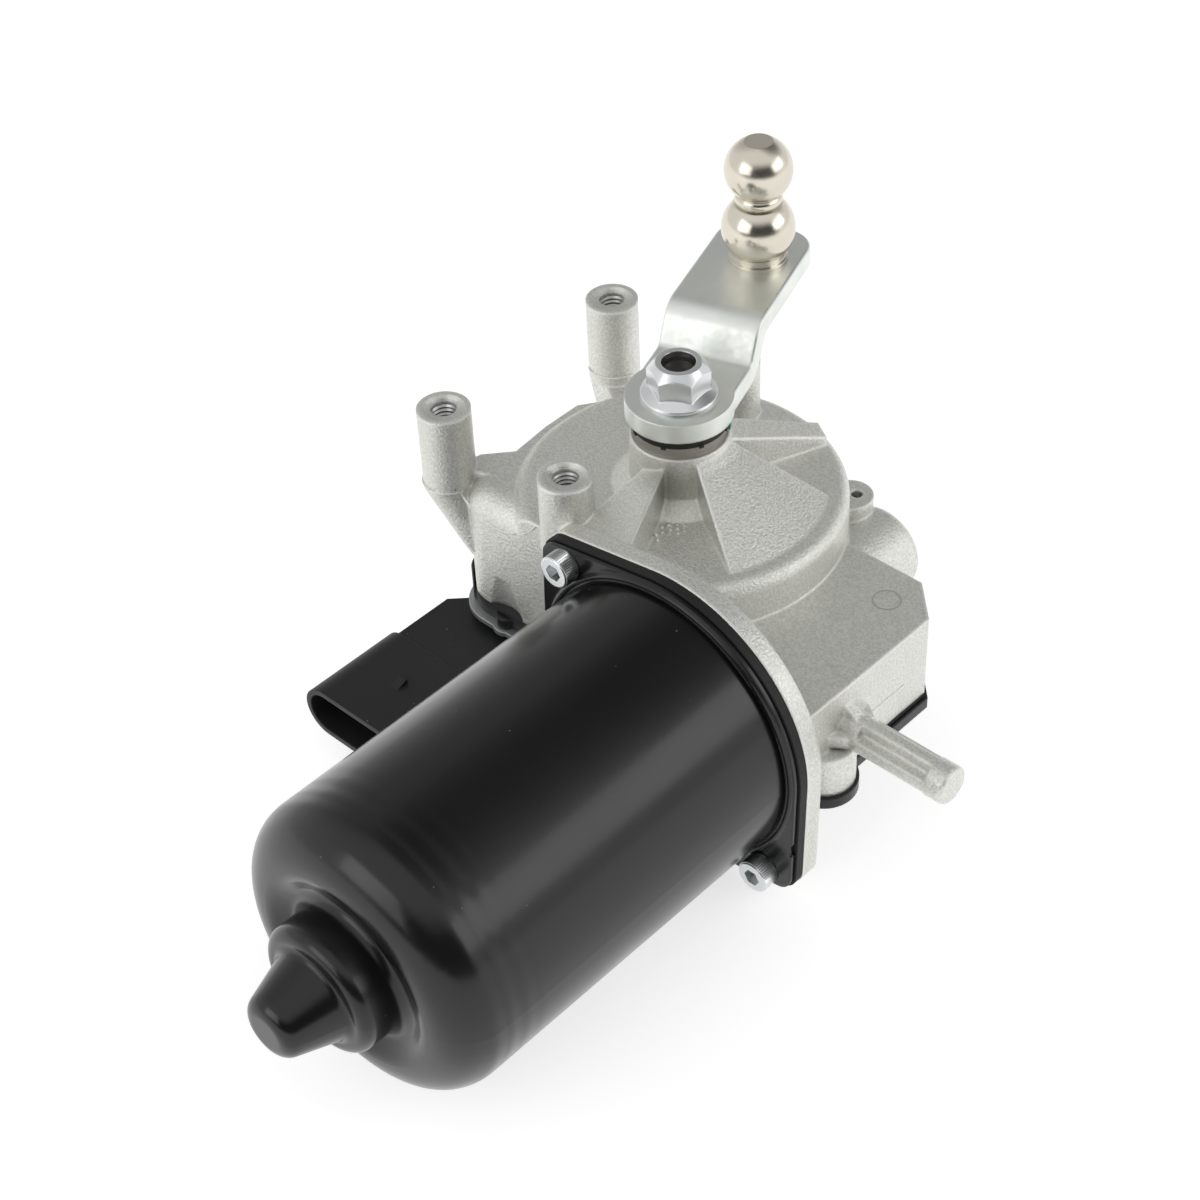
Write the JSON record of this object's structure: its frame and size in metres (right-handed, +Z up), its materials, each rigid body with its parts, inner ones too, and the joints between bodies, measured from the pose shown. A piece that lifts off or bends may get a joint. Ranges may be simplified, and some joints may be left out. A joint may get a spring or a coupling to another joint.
{
  "type": "wiper motor",
  "caption": "Wiper motor with a black steel can, a worm gear in a die-cast housing, a plug socket, and a crank arm with a double ball stud.",
  "frame": {"origin": "on the output shaft's axis, in the plane of the tops of the mounting bosses", "axes": "+Z up along the output shaft, away from the gear housing; +Y away from the motor can, along the motor's axis; +X to the locating pin's side"},
  "size_m": [0.1605, 0.2364, 0.1398],
  "materials": {
    "cast_housing": "satin",
    "black_can": "gloss",
    "matt_plate": "matte",
    "carbon": "matte",
    "brass_parts": "satin",
    "spring_steel": "satin",
    "copper_wire": "gloss",
    "ferrite": "matte",
    "sintered_bronze": "matte",
    "bearing_steel": "gloss",
    "zinc_screws": "gloss",
    "black_rubber": "matte",
    "black_cover": "satin",
    "grey_shield": "satin",
    "black_plug": "matte",
    "tinned_terminals": "gloss",
    "black_ring": "satin",
    "dark_shaft": "satin",
    "wheel_nylon": "satin",
    "zinc_arm": "satin",
    "zinc_nut": "gloss",
    "nickel_stud": "gloss",
    "laminations": "satin",
    "copper_bars": "satin"
  },
  "bodies": {
    "motor_unit": {"gear_housing": "cast_housing", "motor_can": "black_can", "brush_carrier": "matt_plate", "carbon_brushes": "carbon", "brush_boxes": "brass_parts", "brush_springs": "spring_steel", "choke_coils": "copper_wire", "field_magnets": "ferrite", "magnet_clips": "spring_steel", "rear_bush": "sintered_bronze", "bush_retainer": "spring_steel", "front_bearing": "bearing_steel", "worm_end_bush": "sintered_bronze", "thrust_button": "bearing_steel", "flange_screws": "zinc_screws", "cover_seal": "black_rubber", "gear_cover": "black_cover", "cover_shield": "grey_shield", "cover_screws": "zinc_screws", "plug_socket": "black_plug", "plug_terminals": "tinned_terminals", "output_bushes": "sintered_bronze", "shaft_seal": "black_rubber", "splash_ring": "black_ring", "park_fingers": "tinned_terminals"},
    "output": {"output_shaft": "dark_shaft", "retaining_ring": "spring_steel", "worm_wheel": "wheel_nylon", "thrust_washer": "spring_steel", "park_disc": "brass_parts", "crank_arm": "zinc_arm", "crank_nut": "zinc_nut", "ball_stud": "nickel_stud"},
    "armature": {"armature_shaft": "bearing_steel", "armature_core": "laminations", "armature_windings": "copper_wire", "commutator": "copper_bars"}
  },
  "joints": [
    {"name": "output_spin", "type": "hinge", "parent": "motor_unit", "child": "output", "pos_m": [0, 0, 0], "axis": [0, 0, 1], "continuous": true},
    {"name": "armature_spin", "type": "hinge", "parent": "motor_unit", "child": "armature", "pos_m": [0.0345, 0, -0.0439], "axis": [0, 1, 0], "continuous": true}
  ],
  "couplings": [
    {"joint": "armature_spin", "follows": "output_spin", "ratio": -48}
  ]
}
